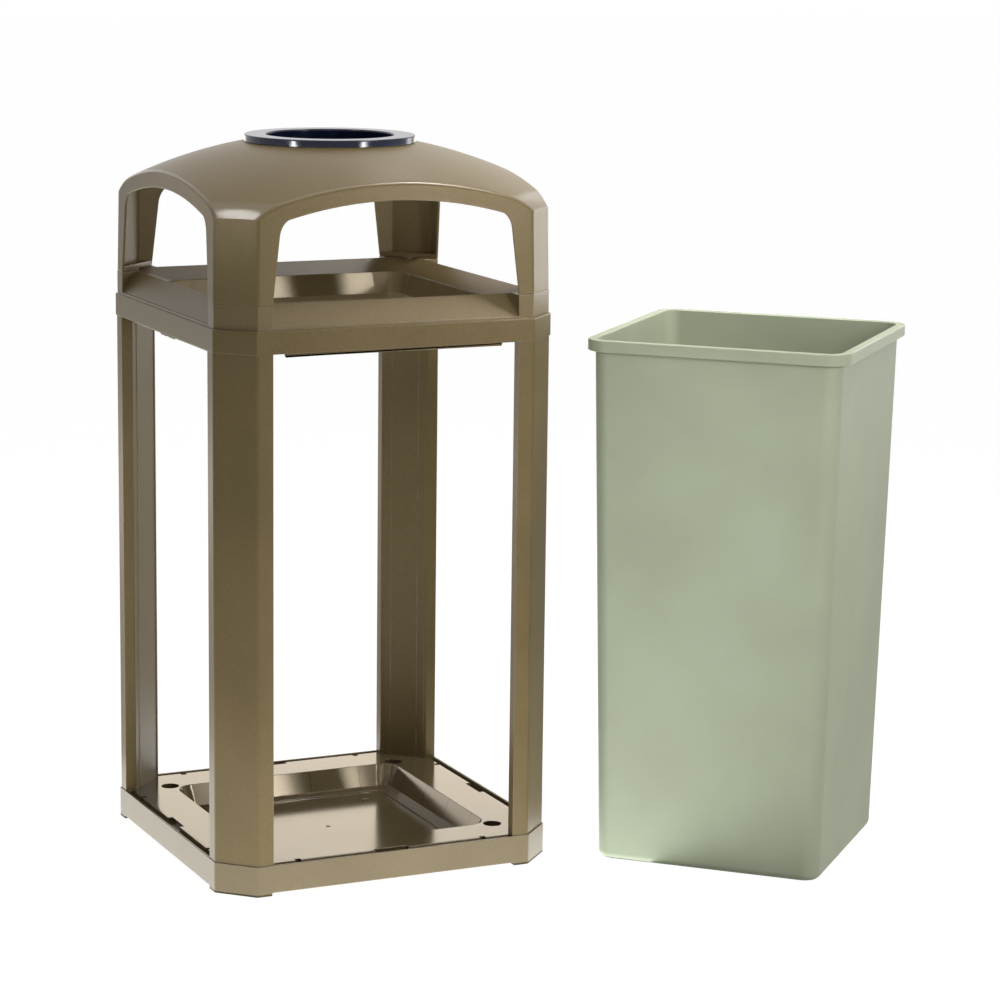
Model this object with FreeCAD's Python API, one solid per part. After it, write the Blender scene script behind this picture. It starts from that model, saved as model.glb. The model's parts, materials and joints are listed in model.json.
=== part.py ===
import FreeCAD, Part
import math
import os

os.makedirs("parts", exist_ok=True)

V = FreeCAD.Vector
UP = V(0, 0, 1)
ROOT2 = math.sqrt(2)
QUARTER_TURN = 90
FULL_TURN = 360
HEX_SIDES = 6
CORNERS = range(4)
SIDES = range(4)

# Plan of the container: an octagon, a square with its corners cut off.
# Each level has its own half width, and all share one corner leg.
base_half = 290.0
corner_leg = 53.0
post_setback = 1.5
rail_setback = 0.5
hood_setback = 3.0
post_half = base_half - post_setback
rail_half = base_half - rail_setback
hood_half = base_half - hood_setback

# Levels above the ground
foot_height = 5.0
base_height = 50.0
post_length = 818.0
rail_height = 37.0
deck_height = 38.0
dome_height = 239.4
rail_bottom = base_height + post_length
rail_top = rail_bottom + rail_height
deck_top = rail_top + deck_height
dome_top = deck_top + dome_height

# Walls, gaps and cutting overrun
wall = 3.5
seat_gap = 0.3
lip_clearance = 0.5
overrun = 2.0

# Side openings of the frame, and the panel slots under and over them
post_reach = 81.0
slot_setback = 14.0
slot_depth = 14.0
bay_half = base_half - post_reach
slot_inner_face = base_half - slot_setback

# Base: deck, liner well, feet and anchor pockets
deck_plate = 4.0
post_seat_plate = 8.0
post_seat_reach = 32.0
foot_reach = 25.0
foot_width = 14.0
foot_pad = 9.0
well_margin = 5.0
well_taper = 14.0
well_half = bay_half - well_margin
well_foot_half = well_half - well_taper
well_corner = 32.0
well_foot_corner = 22.0
ledge_height = 15.0
ledge_width = 26.0
floor_step = 3.0
anchor_place = bay_half
anchor_pocket_radius = 15.0
anchor_wall = 4.0
anchor_floor = 6.0
anchor_bolt_radius = 5.5
middle_notch_half = 29.0
end_notch_inset = 47.0
end_notch_place = bay_half - end_notch_inset
end_notch_half = 4.5
notch_depth = 8.0
notch_drop = 8.0

# Corner posts: hollow, with a bead at each inner corner and one wide flat rib between
post_inner_face = slot_inner_face - wall
bead_radius = 5.0
rib_width = 50.0
rib_proud = 1.0
post_screw_spacing = 36.0
post_boss_radius = 7.5
post_boss_length = 40.0
boss_sink = 1.0

# Top rail
rail_seat_width = 13.5
rail_round = 2.4
tab_end_gap = 24.0
tab_half_length = bay_half - tab_end_gap
tab_drop = 7.0
tab_round = 3.0
latch_place_shares = (-0.158, 0.017)
latch_half_width = 14.0
latch_drop = 2.0
driver_hole_radius = 8.0
corner_plate = 4.0
corner_plate_reach = 40.0

# Screws: shank, head and washer sizes
post_screw_radius = 3.0
post_screw_length = 28.0
post_screw_head_radius = 6.0
post_screw_head = 4.5
washer_radius = 7.0
washer_thickness = 1.6
screw_fit = 0.15
hood_screw_radius = 2.5
hood_screw_length = 7.0
hood_screw_head_radius = 5.0
hood_screw_head = 3.5
hex_socket_share = 0.45
hex_depth_share = 0.6

# Hood deck: sloped sill, funnel and throat
sill_run = 28.5
funnel_drop = 19.0
ridge_round = 2.0
funnel_run = 42.5
throat_corner = 26.0
throat_depth = 37.0
throat_draft = 6.5
skirt_depth = 10.0
skirt_clearance = 2.0
lip_depth = 8.0
screw_pad_radius = 8.0
ridge_half = hood_half - sill_run
throat_half = ridge_half - funnel_run
throat_foot_half = throat_half - throat_draft
throat_foot_corner = throat_corner - throat_draft
throat_edge = deck_top - funnel_drop
throat_bottom = throat_edge - throat_depth
funnel_skin = wall * math.hypot(funnel_run, funnel_drop) / funnel_run

# Hood dome
dome_wall = 4.0
dome_radius = 760.0
dome_draft = 4.0
shoulder_round = 16.0
opening_taper = 15.0
opening_top_half = bay_half - opening_taper
opening_rise = 156.0
opening_arc_radius = 670.0
opening_corner = 22.0
dome_pad_height = 8.0
dome_pad_reach = 16.0

# Ash bowl
ash_rim_radius = 139.6
ash_bowl_radius = 104.0
ash_skirt = 11.0
ash_depth = 58.0
ash_wall = 1.5
ash_rim_round = 2.5
ash_mouth_round = 3.0
ash_floor_round = 12.0
ash_hole_clearance = 2.5

# Liner, which stands by itself beside the frame
liner_headroom = 4.0
liner_foot_clearance = 1.0
liner_taper = 28.5
liner_rim_overhang = 12.4
liner_rim_height = 18.5
liner_corner = 26.4
liner_wall = 3.0
liner_bottom_round = 12.0
liner_rim_round = 1.4
liner_standoff = 39.5
liner_place_y = -302.0
liner_turn = 45.0
liner_height = throat_bottom - ledge_height - liner_headroom
liner_bottom_half = well_foot_half - liner_foot_clearance
liner_rim_half = liner_bottom_half + liner_taper
liner_rim_corner = liner_corner + liner_rim_overhang
liner_reach = ROOT2 * (liner_rim_half - liner_rim_corner) + liner_rim_corner
liner_place_x = base_half + liner_standoff + liner_reach


def inset(half, leg, distance):
    """Half width and corner leg of an octagon that lies inside by one distance."""
    return half - distance, leg - (2 - ROOT2) * distance


def chamfer_distance(half, leg):
    """Distance from the axis to the cut-off corner's face."""
    return (2 * half - leg) / ROOT2


def polygon_wire(points):
    return Part.makePolygon(points + [points[0]])


def polygon_prism(points, height):
    return Part.Face(polygon_wire(points)).extrude(UP * height)


def octagon_points(half, leg, z):
    short = half - leg
    quarter = [V(half, -short, z), V(half, short, z)]
    turn = FreeCAD.Rotation(UP, QUARTER_TURN)
    points = []
    for _ in SIDES:
        points.extend(quarter)
        quarter = [turn.multVec(point) for point in quarter]
    return points


def octagon_prism(half, leg, bottom, top):
    return polygon_prism(octagon_points(half, leg, bottom), top - bottom)


def octagon_ring(half, leg, bottom, top, width):
    inner_half, inner_leg = inset(half, leg, width)
    inner = octagon_prism(inner_half, inner_leg, bottom - overrun, top + overrun)
    return octagon_prism(half, leg, bottom, top).cut(inner)


def rounded_square_wire(half, radius, z):
    """Square with round corners, each corner one quarter arc."""
    edges = []
    turn = FreeCAD.Rotation(UP, QUARTER_TURN)
    short = half - radius
    middle = short + radius / ROOT2
    corner = [V(half, short, z), V(middle, middle, z), V(short, half, z)]
    start = V(half, -short, z)
    for _ in CORNERS:
        edges.append(Part.LineSegment(start, corner[0]).toShape())
        edges.append(Part.Arc(corner[0], corner[1], corner[2]).toShape())
        start = corner[2]
        corner = [turn.multVec(point) for point in corner]
    return Part.Wire(edges)


def rounded_square_prism(half, radius, bottom, top):
    return Part.Face(rounded_square_wire(half, radius, bottom)).extrude(UP * (top - bottom))


def loft(wires):
    return Part.makeLoft(wires, True, True)


def box(x_from, x_to, y_from, y_to, z_from, z_to):
    return Part.makeBox(x_to - x_from, y_to - y_from, z_to - z_from, V(x_from, y_from, z_from))


def cylinder(radius, x, y, z_from, z_to):
    return Part.makeCylinder(radius, z_to - z_from, V(x, y, z_from))


def turned(shape, quarter_turns):
    copy = shape.copy()
    copy.rotate(V(0, 0, 0), UP, QUARTER_TURN * quarter_turns)
    return copy


def all_round(shape):
    """The shape at each of the four sides or corners."""
    return [turned(shape, turn) for turn in SIDES]


def corner_block(reach_from, half, leg, bottom, top):
    """Corner of an octagonal prism, out from one distance along both faces."""
    limit = half + overrun
    return octagon_prism(half, leg, bottom, top).common(
        box(reach_from, limit, reach_from, limit, bottom - overrun, top + overrun))


def beyond_diagonal(distance, reach, bottom, top):
    """Half space beyond a plane that lies parallel to a cut-off corner."""
    offset = distance * ROOT2
    points = [V(offset - reach, reach, bottom), V(reach, offset - reach, bottom), V(reach, reach, bottom)]
    return polygon_prism(points, top - bottom)


def on_corner(distance, along):
    """Plan point at a distance on the corner's diagonal and to one side of it."""
    return (distance - along) / ROOT2, (distance + along) / ROOT2


def fused(shapes):
    return shapes[0].multiFuse(shapes[1:]).removeSplitter()


def save(shape, node):
    shape.exportStep("parts/" + node + ".step")


# Places of the post screws, on both sides of the corner's diagonal
post_inner_half, post_inner_leg = inset(post_half, corner_leg, wall)
post_screw_distance = chamfer_distance(post_inner_half, post_inner_leg) - post_boss_radius + boss_sink
post_screw_places = [on_corner(post_screw_distance, side * post_screw_spacing / 2) for side in (-1, 1)]

# Place of the hood screw, on the corner's diagonal
dome_inner_half, dome_inner_leg = inset(hood_half, corner_leg, dome_wall)
dome_pad_distance = chamfer_distance(dome_inner_half, dome_inner_leg) - dome_pad_reach
hood_screw_distance = dome_pad_distance + dome_pad_reach / 2
hood_screw_place = on_corner(hood_screw_distance, 0)


def panel_slot_walls(half, bottom, top):
    """Block that carries one side's panel slot, from the skin to its inner wall."""
    length = bay_half + wall
    return box(-length, length, -half + wall / 2, -slot_inner_face + wall, bottom, top)


def panel_slot(half, bottom, top):
    return box(-bay_half, bay_half, -half + wall, -slot_inner_face, bottom, top)


def tab_notches(top):
    """Pockets beside one slot that take the tabs of a panel."""
    spans = [(-middle_notch_half, middle_notch_half)]
    for side in (-1, 1):
        place = side * end_notch_place
        spans.append((place - end_notch_half, place + end_notch_half))
    inner = -slot_inner_face + notch_depth
    return [box(left, right, -slot_inner_face - overrun, inner, top - notch_drop, top + overrun)
            for left, right in spans]


def make_base():
    skin = octagon_ring(base_half, corner_leg, foot_height, base_height, wall)
    plate = octagon_prism(base_half - wall / 2, corner_leg, base_height - deck_plate, base_height)
    slot_floor = base_height - slot_depth
    slot_walls = all_round(panel_slot_walls(base_half, slot_floor - wall, base_height))
    well_bottom = ledge_height - floor_step - wall
    well_shell = loft([
        rounded_square_wire(well_half + wall, well_corner + wall, base_height),
        rounded_square_wire(well_foot_half + wall, well_foot_corner + wall, ledge_height - wall)])
    floor_half = well_foot_half - ledge_width
    floor_shell = rounded_square_prism(floor_half + wall, well_foot_corner, well_bottom, ledge_height)
    notch_inner = slot_inner_face - notch_depth
    tray_half = end_notch_place + end_notch_half + wall
    tray_bottom = base_height - notch_drop - wall
    notch_trays = all_round(box(-tray_half, tray_half, -slot_inner_face, -notch_inner + wall,
                                tray_bottom, base_height))
    foot_from = base_half - corner_leg - foot_reach
    foot = octagon_ring(base_half, corner_leg, 0, foot_pad, foot_width).common(
        box(foot_from, base_half, foot_from, base_half, 0, foot_pad))
    seat_distance = chamfer_distance(base_half, corner_leg) - post_seat_reach
    seat_bottom = base_height - post_seat_plate
    seat = corner_block(0, base_half - wall / 2, corner_leg, seat_bottom, base_height).common(
        beyond_diagonal(seat_distance, base_half, seat_bottom, base_height))
    anchor = cylinder(anchor_pocket_radius + anchor_wall, anchor_place, anchor_place, 0, base_height)
    body = fused([skin, plate, well_shell, floor_shell] + slot_walls + notch_trays
                 + all_round(foot) + all_round(seat) + all_round(anchor))
    well = loft([rounded_square_wire(well_half, well_corner, base_height),
                 rounded_square_wire(well_foot_half, well_foot_corner, ledge_height)])
    lower_floor = rounded_square_prism(floor_half, well_foot_corner, ledge_height - floor_step,
                                       ledge_height + overrun)
    cuts = [well, lower_floor]
    cuts += all_round(panel_slot(base_half, slot_floor, base_height + overrun))
    for notch in tab_notches(base_height):
        cuts += all_round(notch)
    cuts += all_round(cylinder(anchor_pocket_radius, anchor_place, anchor_place, anchor_floor,
                               base_height + overrun))
    cuts += all_round(cylinder(anchor_bolt_radius, anchor_place, anchor_place, -overrun,
                               anchor_floor + overrun))
    for x, y in post_screw_places:
        cuts += all_round(cylinder(post_screw_radius + screw_fit, x, y, seat_bottom - overrun,
                                   base_height + overrun))
    return body.cut(cuts)


def post_block(margin, bottom, top):
    """One post's outline, taken in by a margin all round."""
    half, leg = inset(post_half, corner_leg, margin)
    inner_distance = (post_inner_face + bay_half) / ROOT2
    return corner_block(bay_half + margin, half, leg, bottom, top).common(
        beyond_diagonal(inner_distance + margin, half, bottom, top))


def post_rib(bottom, top):
    """Wide flat rib up the post's inner face."""
    inner_distance = (post_inner_face + bay_half) / ROOT2
    rib = box(inner_distance - rib_proud, inner_distance + wall, -rib_width / 2, rib_width / 2, bottom, top)
    rib.rotate(V(0, 0, 0), UP, QUARTER_TURN / 2)
    return rib


def make_post():
    """The post at the corner with positive x and y."""
    bottom, top = base_height, rail_bottom
    bead = bay_half + bead_radius
    beads = [cylinder(bead_radius, bead, post_inner_face, bottom, top),
             cylinder(bead_radius, post_inner_face, bead, bottom, top)]
    outer = fused([post_block(0, bottom, top), post_rib(bottom, top)] + beads)
    tube = outer.cut(post_block(wall, bottom - overrun, top + overrun))
    bosses = []
    bores = []
    bore_length = post_screw_length + overrun
    for x, y in post_screw_places:
        for low, high in ((bottom, bottom + post_boss_length), (top - post_boss_length, top)):
            bosses.append(cylinder(post_boss_radius, x, y, low, high))
        bores.append(cylinder(post_screw_radius + screw_fit, x, y, bottom, bottom + bore_length))
        bores.append(cylinder(post_screw_radius + screw_fit, x, y, top - bore_length, top))
    return fused([tube] + bosses).cut(bores)


def make_rail():
    """Ring on the posts, with panel slots that open downwards and a seat for the hood."""
    skin = octagon_ring(rail_half, corner_leg, rail_bottom, rail_top, wall)
    seat = octagon_ring(rail_half, corner_leg, rail_top - wall, rail_top, rail_seat_width)
    slot_top = rail_bottom + slot_depth
    slot_walls = all_round(panel_slot_walls(rail_half, rail_bottom, slot_top + wall))
    tab = box(-tab_half_length, tab_half_length, -slot_inner_face, -slot_inner_face + wall,
              rail_bottom - tab_drop, rail_bottom + wall)
    tab_ends = [edge for edge in tab.Edges if edge.BoundBox.ZMax < rail_bottom
                and edge.BoundBox.YLength > edge.BoundBox.XLength]
    tab = tab.makeFillet(tab_round, tab_ends)
    latches = []
    for share in latch_place_shares:
        place = bay_half * share
        latch = box(slot_inner_face - wall, slot_inner_face, place - latch_half_width,
                    place + latch_half_width, rail_bottom - tab_drop - latch_drop, rail_bottom)
        latches += [latch, turned(latch, 2)]
    corner = corner_block(bay_half, rail_half - wall / 2, corner_leg, rail_bottom,
                          rail_bottom + corner_plate)
    plate_distance = chamfer_distance(rail_half, corner_leg) - corner_plate_reach
    corner = corner.common(beyond_diagonal(plate_distance, rail_half, rail_bottom, rail_top))
    body = fused([skin, seat] + slot_walls + all_round(tab) + latches + all_round(corner))
    outline = octagon_prism(rail_half, corner_leg, rail_bottom - tab_drop - latch_drop, rail_top)
    top_edges = [edge for edge in outline.Edges if edge.BoundBox.ZMin > rail_top - rail_round]
    body = body.common(outline.makeFillet(rail_round, top_edges))
    cuts = all_round(panel_slot(rail_half, rail_bottom - overrun, slot_top))
    for x, y in post_screw_places:
        cuts += all_round(cylinder(post_screw_radius + screw_fit, x, y, rail_bottom - overrun,
                                   rail_bottom + corner_plate + overrun))
        cuts += all_round(cylinder(driver_hole_radius, x, y, rail_top - wall - overrun, rail_top + overrun))
    return body.cut(cuts)


def make_hood_deck():
    """Sill ring under the dome: sloped bands, four corner blocks, a funnel and its throat."""
    sill = loft([rounded_square_wire(hood_half, ridge_round, rail_top),
                 rounded_square_wire(ridge_half, ridge_round, deck_top)])
    sill = sill.common(octagon_prism(hood_half, corner_leg, rail_top, deck_top))
    blocks = all_round(corner_block(bay_half, hood_half, corner_leg, rail_top, deck_top))
    slope = math.hypot(sill_run, deck_height)
    shift = wall * slope / deck_height
    hollow = loft([rounded_square_wire(hood_half - shift, ridge_round, rail_top),
                   rounded_square_wire(ridge_half - shift, ridge_round, deck_top)])
    skin_half, skin_leg = inset(hood_half, corner_leg, wall)
    hollow = hollow.common(octagon_prism(skin_half, skin_leg, rail_top, deck_top - wall))
    block_hollows = all_round(corner_block(bay_half + wall, skin_half, skin_leg, rail_top, deck_top - wall))
    skin_corner = throat_corner + wall
    throat_skin = loft([rounded_square_wire(throat_foot_half + wall, throat_foot_corner + wall, throat_bottom),
                        rounded_square_wire(throat_half + wall, skin_corner, throat_edge)])
    funnel_under = loft([rounded_square_wire(throat_half + wall, skin_corner, throat_edge - funnel_skin),
                         rounded_square_wire(ridge_half, ridge_round, deck_top - funnel_skin)])
    funnel_cap = rounded_square_prism(ridge_half, ridge_round, deck_top - funnel_skin, deck_top)
    hollows = [part.cut([throat_skin, funnel_under, funnel_cap]) for part in [hollow] + block_hollows]
    skirt_half = liner_rim_half + skirt_clearance
    skirt_corner = throat_corner + skirt_half - throat_half
    skirt_bottom = throat_bottom - skirt_depth
    skirt = rounded_square_prism(skirt_half + wall, skirt_corner + wall, skirt_bottom, throat_bottom + wall)
    skirt_hollow = rounded_square_prism(skirt_half, skirt_corner, skirt_bottom - overrun, throat_bottom)
    lip_half, lip_leg = inset(rail_half, corner_leg, rail_seat_width + lip_clearance)
    foot = octagon_ring(hood_half, corner_leg, rail_top, rail_top + wall, hood_half - lip_half + wall)
    lip = octagon_ring(lip_half, lip_leg, rail_top - lip_depth, rail_top + wall, wall)
    x, y = hood_screw_place
    pads = all_round(cylinder(screw_pad_radius, x, y, deck_top - wall - funnel_skin, deck_top))
    funnel = loft([rounded_square_wire(throat_half, throat_corner, throat_edge),
                   rounded_square_wire(ridge_half, ridge_round, deck_top)])
    throat = loft([rounded_square_wire(throat_foot_half, throat_foot_corner, throat_bottom - overrun),
                   rounded_square_wire(throat_half, throat_corner, throat_edge)])
    shell = fused([sill] + blocks).cut(hollows)
    shell = fused([shell, throat_skin, skirt, foot, lip]).cut([funnel, throat, skirt_hollow])
    shell = fused([shell] + pads)
    bores = all_round(cylinder(hood_screw_radius + screw_fit, x, y, rail_top, deck_top + overrun))
    return shell.cut(bores)


def dome_block(half, leg, wall_inset):
    """Drafted octagonal block under a shallow round top, rolled off above the cut-off corners."""
    top_half, top_leg = inset(half, leg, dome_draft)
    block = loft([polygon_wire(octagon_points(half, leg, deck_top)),
                  polygon_wire(octagon_points(top_half, top_leg, dome_top))])
    block = block.common(Part.makeSphere(dome_radius - wall_inset, V(0, 0, dome_top - dome_radius)))
    shoulders = [edge for edge in block.Edges
                 if corner_leg < edge.Length < 2 * corner_leg and edge.BoundBox.ZLength < shoulder_round
                 and edge.BoundBox.ZMin > deck_top + opening_rise / 2]
    return block.makeFillet(shoulder_round - wall_inset, shoulders)


def side_opening():
    """Arched opening cut right through the hood, from front to back."""
    top = deck_top + opening_rise
    drop = opening_arc_radius - math.sqrt(opening_arc_radius ** 2 - opening_top_half ** 2)
    reach = hood_half + overrun
    left, right = -opening_top_half, opening_top_half
    outline = Part.Wire([
        Part.LineSegment(V(-bay_half, -reach, deck_top), V(bay_half, -reach, deck_top)).toShape(),
        Part.LineSegment(V(bay_half, -reach, deck_top), V(right, -reach, top - drop)).toShape(),
        Part.Arc(V(right, -reach, top - drop), V(0, -reach, top), V(left, -reach, top - drop)).toShape(),
        Part.LineSegment(V(left, -reach, top - drop), V(-bay_half, -reach, deck_top)).toShape()])
    block = Part.Face(outline).extrude(V(0, 2 * reach, 0))
    shoulders = [edge for edge in block.Edges
                 if edge.BoundBox.YLength > reach and edge.BoundBox.ZMin > deck_top + overrun]
    return block.makeFillet(opening_corner, shoulders)


def make_hood_dome():
    outer = dome_block(hood_half, corner_leg, 0)
    inner = dome_block(dome_inner_half, dome_inner_leg, dome_wall)
    opening = side_opening()
    hole = cylinder(ash_bowl_radius + ash_wall + ash_hole_clearance, 0, 0, deck_top + opening_rise,
                    dome_top + overrun)
    shell = outer.cut([inner, opening, turned(opening, 1), hole])
    pad_top = deck_top + dome_pad_height
    pad = corner_block(bay_half, hood_half, corner_leg, deck_top, pad_top).common(
        beyond_diagonal(dome_pad_distance, hood_half, deck_top, pad_top))
    shell = fused([shell] + all_round(pad)).common(outer)
    x, y = hood_screw_place
    bore_top = deck_top + hood_screw_length
    return shell.cut(all_round(cylinder(hood_screw_radius + screw_fit, x, y, deck_top, bore_top)))


def make_ash_bowl():
    """Spun bowl with a flat rim whose turned-down edge rests on the dome."""
    dome_centre = dome_top - dome_radius
    seat = dome_centre + math.sqrt(dome_radius ** 2 - (ash_rim_radius - ash_wall) ** 2)
    rim_bottom = seat + seat_gap
    ash_top = rim_bottom + ash_skirt
    floor = ash_top - ash_depth

    def profile(offset):
        """Half section of the bowl's upper face, moved down and outwards by one offset."""
        bowl = ash_bowl_radius + offset
        rim = ash_rim_radius - offset
        top = ash_top - offset
        bottom = floor - offset
        floor_round = ash_floor_round + offset
        mouth_round = ash_mouth_round - offset
        rim_round = ash_rim_round - offset
        floor_centre = V(bowl - floor_round, 0, bottom + floor_round)
        mouth_centre = V(bowl + mouth_round, 0, top - mouth_round)
        rim_centre = V(rim - rim_round, 0, top - rim_round)
        diagonal = V(1 / ROOT2, 0, 1 / ROOT2)
        floor_middle = floor_centre + V(diagonal.x, 0, -diagonal.z) * floor_round
        mouth_middle = mouth_centre + V(-diagonal.x, 0, diagonal.z) * mouth_round
        rim_middle = rim_centre + diagonal * rim_round
        points = [V(0, 0, bottom), floor_centre - UP * floor_round, floor_centre + V(floor_round, 0, 0),
                  mouth_centre - V(mouth_round, 0, 0), mouth_centre + UP * mouth_round,
                  rim_centre + UP * rim_round, rim_centre + V(rim_round, 0, 0), V(rim, 0, rim_bottom)]
        edges = [Part.LineSegment(points[0], points[1]).toShape(),
                 Part.Arc(points[1], floor_middle, points[2]).toShape(),
                 Part.LineSegment(points[2], points[3]).toShape(),
                 Part.Arc(points[3], mouth_middle, points[4]).toShape(),
                 Part.LineSegment(points[4], points[5]).toShape(),
                 Part.Arc(points[5], rim_middle, points[6]).toShape(),
                 Part.LineSegment(points[6], points[7]).toShape()]
        return edges, points[0], points[-1]

    upper, upper_start, upper_end = profile(0)
    lower, lower_start, lower_end = profile(ash_wall)
    closing = [Part.LineSegment(upper_end, lower_end).toShape(),
               Part.LineSegment(upper_start, lower_start).toShape()]
    outline = Part.Wire(Part.sortEdges(upper + closing + lower)[0])
    return Part.Face(outline).revolve(V(0, 0, 0), UP, FULL_TURN)


def make_liner():
    """Tapered tub with round corners and a turned-over rim."""
    rim_bottom = liner_height - liner_rim_height
    top_half = liner_rim_half - liner_rim_overhang
    growth = (top_half - liner_bottom_half) / rim_bottom
    mouth_half = top_half + growth * liner_rim_height
    outer = loft([rounded_square_wire(liner_bottom_half, liner_corner, 0),
                  rounded_square_wire(mouth_half, liner_corner, liner_height)])
    bottom_edges = [edge for edge in outer.Edges if edge.BoundBox.ZMax < overrun]
    outer = outer.makeFillet(liner_bottom_round, bottom_edges)
    inner_low = liner_bottom_half + growth * liner_wall - liner_wall
    inner = loft([rounded_square_wire(inner_low, liner_corner - liner_wall, liner_wall),
                  rounded_square_wire(mouth_half - liner_wall, liner_corner - liner_wall, liner_height)])
    inner_edges = [edge for edge in inner.Edges if edge.BoundBox.ZMax < liner_wall + overrun]
    inner = inner.makeFillet(liner_bottom_round - liner_wall, inner_edges)
    rim = rounded_square_prism(liner_rim_half, liner_rim_corner, rim_bottom, liner_height)
    rim_hollow = rounded_square_prism(liner_rim_half - liner_wall, liner_rim_corner - liner_wall,
                                      rim_bottom - overrun, liner_height - liner_wall)
    rim = rim.cut(rim_hollow.cut(outer))
    tub = fused([outer, rim]).cut(inner)
    rim_edges = [edge for edge in tub.Edges
                 if edge.BoundBox.ZMin > liner_height - overrun / 2 and edge.BoundBox.ZMax > rim_bottom]
    tub = tub.makeFillet(liner_rim_round, rim_edges)
    tub.rotate(V(0, 0, 0), UP, liner_turn)
    tub.translate(V(liner_place_x, liner_place_y, 0))
    return tub


def hex_socket(radius, depth, z_from, x, y):
    angles = [math.radians(FULL_TURN * step / HEX_SIDES) for step in range(HEX_SIDES)]
    points = [V(x + radius * math.cos(angle), y + radius * math.sin(angle), z_from) for angle in angles]
    return polygon_prism(points, depth)


def screw(x, y, seat, direction, shank_radius, length, head_radius, head):
    """Screw through a seat face: the shank runs along the direction, the head lies behind it."""
    low, high = sorted((seat, seat + direction * length))
    shank = cylinder(shank_radius, x, y, low, high)
    head_low, head_high = sorted((seat, seat - direction * head))
    cap = cylinder(head_radius, x, y, head_low, head_high)
    depth = head * hex_depth_share
    socket_low = head_low if direction > 0 else head_high - depth
    socket = hex_socket(head_radius * hex_socket_share, depth, socket_low, x, y)
    return fused([shank, cap]).cut(socket)


def make_post_foot_screws():
    seat = base_height - post_seat_plate - washer_thickness
    length = post_seat_plate + washer_thickness + post_screw_length
    screws = []
    for x, y in post_screw_places:
        screws += all_round(screw(x, y, seat, 1, post_screw_radius, length,
                                  post_screw_head_radius, post_screw_head))
    return Part.makeCompound(screws)


def make_post_foot_washers():
    top = base_height - post_seat_plate
    washers = []
    for x, y in post_screw_places:
        disc = cylinder(washer_radius, x, y, top - washer_thickness, top)
        hole = cylinder(post_screw_radius + screw_fit, x, y, top - washer_thickness - overrun,
                        top + overrun)
        washers += all_round(disc.cut(hole))
    return Part.makeCompound(washers)


def make_rail_screws():
    seat = rail_bottom + corner_plate
    length = corner_plate + post_screw_length
    screws = []
    for x, y in post_screw_places:
        screws += all_round(screw(x, y, seat, -1, post_screw_radius, length,
                                  post_screw_head_radius, post_screw_head))
    return Part.makeCompound(screws)


def make_hood_screws():
    x, y = hood_screw_place
    seat = deck_top - wall - funnel_skin
    length = deck_top - seat + hood_screw_length - overrun
    return Part.makeCompound(all_round(screw(x, y, seat, 1, hood_screw_radius, length,
                                             hood_screw_head_radius, hood_screw_head)))


post = make_post()
post_names = ["post_back_right", "post_back_left", "post_front_left", "post_front_right"]
nodes = {
    "base": make_base(),
    "top_rail": make_rail(),
    "hood_deck": make_hood_deck(),
    "hood_dome": make_hood_dome(),
    "ash_bowl": make_ash_bowl(),
    "liner": make_liner(),
    "post_foot_screws": make_post_foot_screws(),
    "post_foot_washers": make_post_foot_washers(),
    "rail_screws": make_rail_screws(),
    "hood_screws": make_hood_screws(),
}
for turn, name in enumerate(post_names):
    nodes[name] = turned(post, turn)

for node, shape in nodes.items():
    save(shape, node)
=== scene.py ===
import json
import math

import bmesh
import bpy
from mathutils import Matrix, Vector

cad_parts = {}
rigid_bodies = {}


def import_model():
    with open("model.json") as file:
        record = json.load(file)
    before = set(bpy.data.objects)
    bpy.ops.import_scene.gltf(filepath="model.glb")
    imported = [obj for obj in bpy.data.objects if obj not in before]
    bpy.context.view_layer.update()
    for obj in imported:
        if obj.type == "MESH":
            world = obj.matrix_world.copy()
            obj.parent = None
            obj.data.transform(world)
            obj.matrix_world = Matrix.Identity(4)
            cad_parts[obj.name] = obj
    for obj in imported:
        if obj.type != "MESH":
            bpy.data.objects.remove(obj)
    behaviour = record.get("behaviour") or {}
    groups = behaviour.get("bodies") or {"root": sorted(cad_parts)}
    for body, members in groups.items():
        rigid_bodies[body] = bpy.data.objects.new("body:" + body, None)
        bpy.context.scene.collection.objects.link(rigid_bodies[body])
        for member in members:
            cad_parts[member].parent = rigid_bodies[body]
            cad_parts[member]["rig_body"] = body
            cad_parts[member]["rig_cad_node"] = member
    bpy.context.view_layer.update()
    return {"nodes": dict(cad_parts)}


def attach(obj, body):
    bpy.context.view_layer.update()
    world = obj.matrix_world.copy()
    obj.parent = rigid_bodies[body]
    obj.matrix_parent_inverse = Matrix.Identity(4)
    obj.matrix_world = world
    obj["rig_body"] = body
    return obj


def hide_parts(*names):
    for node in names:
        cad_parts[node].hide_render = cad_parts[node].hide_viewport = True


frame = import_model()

MM = 0.001
QUARTER = math.pi / 2
WELD = 0.02 * MM

# Sizes are in metres, as in the solids. A half is the distance from the frame's axis to a side.
CORNER_LEG = 53 * MM
BASE_HALF = 290 * MM
POST_HALF = 288.5 * MM

# Hood
HOOD_HALF = 287 * MM
DECK_TOP = 943 * MM
DOME_TOP = 1182.4 * MM
DOME_RADIUS = 760 * MM
DOME_DRAFT = 4 * MM
DOME_WALL = 4 * MM
DOME_GRID = 40
SHOULDER_ROLL = 52 * MM
SHOULDER_END = 0.6
SHOULDER_SHARES = (0.2, 0.4, 0.6, 0.8, 1.0)
CREASE_ROLL = 5 * MM
CREASE_SHARES = (0.03, 0.12, 0.26, 0.45, 0.7, 1.0)
LEG_ROUND = 11 * MM
LEG_ROUND_SHARES = (0.2, 0.4, 0.6, 0.8)
OPENING_FOOT_HALF = 209 * MM
OPENING_TOP_HALF = 194 * MM
OPENING_TOP = 1099 * MM
OPENING_ARC = 670 * MM
OPENING_ARC_DROP = 28.7 * MM
OPENING_CORNER = 22 * MM
BOWL_HOLE = 108 * MM
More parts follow.
